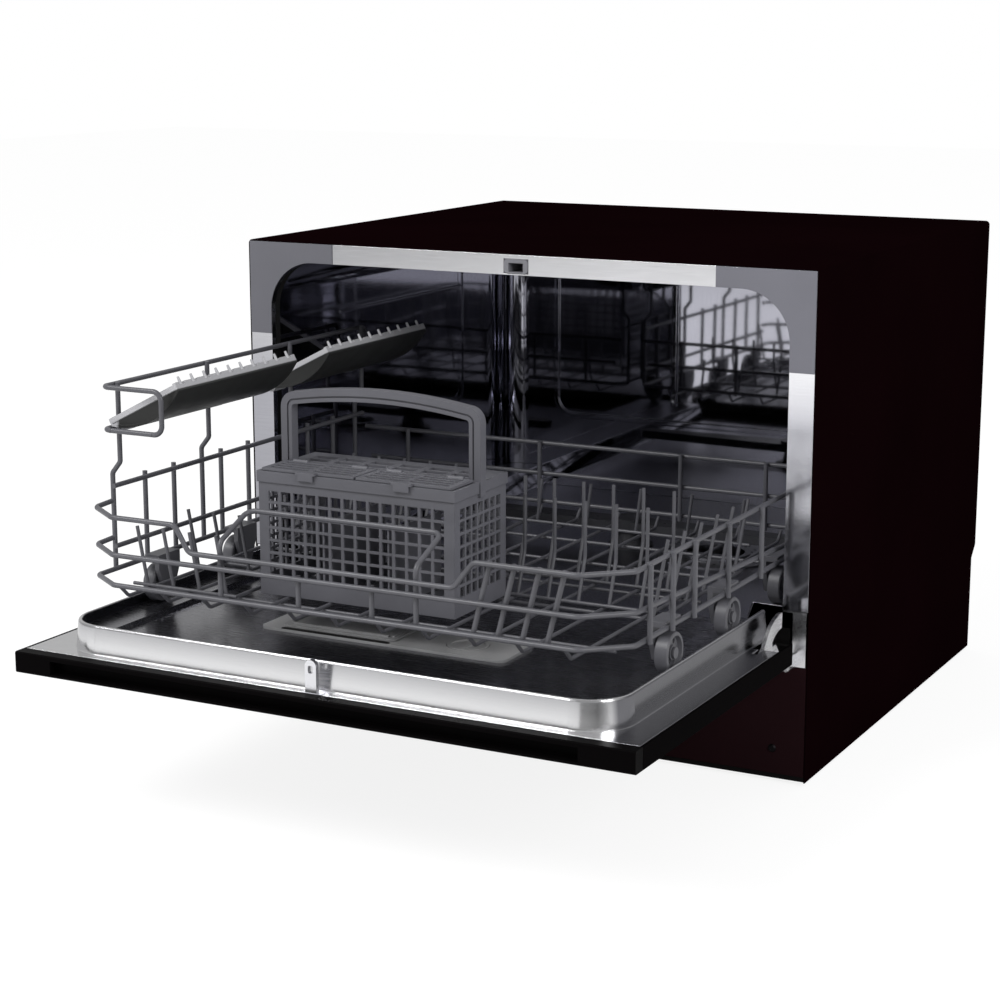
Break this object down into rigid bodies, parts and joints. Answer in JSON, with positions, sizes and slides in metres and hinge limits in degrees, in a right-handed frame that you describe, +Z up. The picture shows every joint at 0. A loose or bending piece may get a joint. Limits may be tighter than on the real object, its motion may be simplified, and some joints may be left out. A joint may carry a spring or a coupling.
{
  "type": "countertop dishwasher",
  "caption": "Compact countertop dishwasher with a drop-down door, a rolled-out wire rack on wheels, hinged cup shelves and a lidded cutlery basket.",
  "frame": {"origin": "on the worktop, under the middle of the cabinet's footprint", "axes": "+Z up, -Y out of the cabinet's front towards the open door, +X to the right as seen from the front"},
  "size_m": [0.55, 0.8474, 0.438],
  "materials": {
    "casing_paint": "satin black with a faint warm tint",
    "rear_sheet": "matt black coated sheet",
    "base_plastic": "matt black moulding",
    "foot_rubber": "black rubber",
    "frame_steel": "brushed stainless",
    "frame_grey": "mid grey moulding",
    "tub_steel": "stainless, reflecting the dark inside",
    "gasket_rubber": "black rubber",
    "hinge_steel": "plated steel",
    "well_plastic": "dark grey moulding",
    "filter_mesh": "perforated stainless",
    "spray_plastic": "dark grey moulding",
    "pump_plastic": "black moulding",
    "heater_steel": "plain steel",
    "valve_plastic": "blue-grey moulding",
    "clear_plastic": "translucent moulding",
    "screw_steel": "zinc-plated steel",
    "door_paint": "gloss black sheet",
    "trim_plastic": "gloss black moulding",
    "liner_steel": "bright stainless pressing",
    "panel_gloss": "gloss black moulding",
    "window_glass": "smoked clear moulding",
    "board_green": "green laminate",
    "strike_steel": "bright steel",
    "dispenser_grey": "grey moulding",
    "button_grey": "dark grey moulding",
    "rack_coating": "grey nylon-coated wire",
    "wheel_grey": "grey moulding",
    "shelf_grey": "dark grey moulding",
    "basket_grey": "grey moulding"
  },
  "bodies": {
    "cabinet": {"outer_casing": "casing_paint", "rear_panel": "rear_sheet", "base_tray": "base_plastic", "feet": "foot_rubber", "kick_plate": "casing_paint", "front_frame": "frame_steel", "left_frame_corner": "frame_grey", "right_frame_corner": "frame_grey", "latch_receiver": "frame_grey", "tub": "tub_steel", "tub_gasket": "gasket_rubber", "door_sill": "base_plastic", "hinge_brackets": "hinge_steel", "hinge_pins": "hinge_steel", "sump": "well_plastic", "filter_plate": "filter_mesh", "spray_hub": "spray_plastic", "wash_pump": "pump_plastic", "drain_pump": "pump_plastic", "flow_heater": "heater_steel", "inlet_valve": "valve_plastic", "drain_spigot": "pump_plastic", "cord_gland": "gasket_rubber", "air_breaker": "clear_plastic", "casing_screws": "screw_steel"},
    "filter_cup": {"filter_cup": "filter_mesh"},
    "spray_arm": {"spray_arm": "spray_plastic"},
    "door": {"door_outer_panel": "door_paint", "door_top_trim": "trim_plastic", "door_liner": "liner_steel", "control_panel": "panel_gloss", "display_window": "window_glass", "control_board": "board_green", "latch_strike": "strike_steel", "hinge_arms": "hinge_steel", "dispenser_body": "dispenser_grey"},
    "dispenser_lid": {"dispenser_lid": "dispenser_grey"},
    "rinse_cap": {"rinse_cap": "dispenser_grey"},
    "power_button": {"power_button": "button_grey"},
    "program_button": {"program_button": "button_grey"},
    "start_button": {"start_button": "button_grey"},
    "guard_rod": {"shelf_front_bar": "rack_coating"},
    "rack": {"rack_rim": "rack_coating", "rack_uprights": "rack_coating", "rack_floor": "rack_coating", "rack_tines": "rack_coating", "shelf_frame": "rack_coating", "basket_guard": "rack_coating", "wheel_brackets": "wheel_grey"},
    "front_left_wheel": {"front_left_wheel": "wheel_grey"},
    "middle_left_wheel": {"middle_left_wheel": "wheel_grey"},
    "rear_left_wheel": {"rear_left_wheel": "wheel_grey"},
    "front_right_wheel": {"front_right_wheel": "wheel_grey"},
    "middle_right_wheel": {"middle_right_wheel": "wheel_grey"},
    "rear_right_wheel": {"rear_right_wheel": "wheel_grey"},
    "front_cup_shelf": {"front_cup_shelf": "shelf_grey"},
    "rear_cup_shelf": {"rear_cup_shelf": "shelf_grey"},
    "cutlery_basket": {"cutlery_basket": "basket_grey"},
    "left_basket_lid": {"left_basket_lid": "basket_grey"},
    "right_basket_lid": {"right_basket_lid": "basket_grey"}
  },
  "joints": [
    {"name": "door_hinge", "type": "hinge", "parent": "cabinet", "child": "door", "pos_m": [0, -0.2723, 0.1121], "axis": [-1, 0, 0], "range_deg": [0, 90]},
    {"name": "rack_lift", "type": "hinge", "parent": "door", "child": "guard_rod", "pos_m": [0, -0.51641, 0.23925], "axis": [-1, 0, 0], "range_deg": [0, 135]},
    {"name": "rack_level", "type": "hinge", "parent": "guard_rod", "child": "rack", "pos_m": [0, -0.518, 0.3071], "axis": [-1, 0, 0], "range_deg": [-225, 0]},
    {"name": "spray_arm_spin", "type": "hinge", "parent": "cabinet", "child": "spray_arm", "pos_m": [0, 0, 0.145], "axis": [0, 0, 1], "continuous": true},
    {"name": "filter_twist", "type": "hinge", "parent": "cabinet", "child": "filter_cup", "pos_m": [0.09, 0, 0.128], "axis": [0, 0, 1], "range_deg": [0, 60]},
    {"name": "dispenser_lid_slide", "type": "slide", "parent": "door", "child": "dispenser_lid", "axis": [0, 1, 0], "range_m": [0, 0.042]},
    {"name": "rinse_cap_turn", "type": "hinge", "parent": "door", "child": "rinse_cap", "pos_m": [0.062, -0.4503, 0.145], "axis": [0, 0, 1], "range_deg": [0, 90]},
    {"name": "power_button_press", "type": "slide", "parent": "door", "child": "power_button", "axis": [0, 0, 1], "range_m": [0, 0.0012], "stiffness_N_per_m": 300},
    {"name": "program_button_press", "type": "slide", "parent": "door", "child": "program_button", "axis": [0, 0, 1], "range_m": [0, 0.0012], "stiffness_N_per_m": 300},
    {"name": "start_button_press", "type": "slide", "parent": "door", "child": "start_button", "axis": [0, 0, 1], "range_m": [0, 0.0012], "stiffness_N_per_m": 300},
    {"name": "front_left_wheel_spin", "type": "hinge", "parent": "rack", "child": "front_left_wheel", "pos_m": [-0.2365, -0.453, 0.1655], "axis": [1, 0, 0], "continuous": true},
    {"name": "middle_left_wheel_spin", "type": "hinge", "parent": "rack", "child": "middle_left_wheel", "pos_m": [-0.2365, -0.335, 0.1655], "axis": [1, 0, 0], "continuous": true},
    {"name": "rear_left_wheel_spin", "type": "hinge", "parent": "rack", "child": "rear_left_wheel", "pos_m": [-0.2365, -0.217, 0.1655], "axis": [1, 0, 0], "continuous": true},
    {"name": "front_right_wheel_spin", "type": "hinge", "parent": "rack", "child": "front_right_wheel", "pos_m": [0.2365, -0.453, 0.1655], "axis": [1, 0, 0], "continuous": true},
    {"name": "middle_right_wheel_spin", "type": "hinge", "parent": "rack", "child": "middle_right_wheel", "pos_m": [0.2365, -0.335, 0.1655], "axis": [1, 0, 0], "continuous": true},
    {"name": "rear_right_wheel_spin", "type": "hinge", "parent": "rack", "child": "rear_right_wheel", "pos_m": [0.2365, -0.217, 0.1655], "axis": [1, 0, 0], "continuous": true},
    {"name": "front_cup_shelf_hinge", "type": "hinge", "parent": "rack", "child": "front_cup_shelf", "pos_m": [-0.24, -0.428, 0.3071], "axis": [0, -1, 0], "range_deg": [0, 30]},
    {"name": "rear_cup_shelf_hinge", "type": "hinge", "parent": "rack", "child": "rear_cup_shelf", "pos_m": [-0.24, -0.198, 0.3071], "axis": [0, -1, 0], "range_deg": [0, 30]},
    {"name": "basket_lift", "type": "slide", "parent": "rack", "child": "cutlery_basket", "axis": [0, 0, 1], "range_m": [0, 0.055]},
    {"name": "left_basket_lid_hinge", "type": "hinge", "parent": "cutlery_basket", "child": "left_basket_lid", "pos_m": [-0.0645, -0.45, 0.282], "axis": [-1, 0, 0], "range_deg": [0, 85]},
    {"name": "right_basket_lid_hinge", "type": "hinge", "parent": "cutlery_basket", "child": "right_basket_lid", "pos_m": [0.0235, -0.45, 0.282], "axis": [-1, 0, 0], "range_deg": [0, 85]}
  ],
  "couplings": [
    {"joint": "rack_lift", "follows": "door_hinge", "ratio": 1.5},
    {"joint": "rack_level", "follows": "door_hinge", "ratio": -2.5}
  ]
}
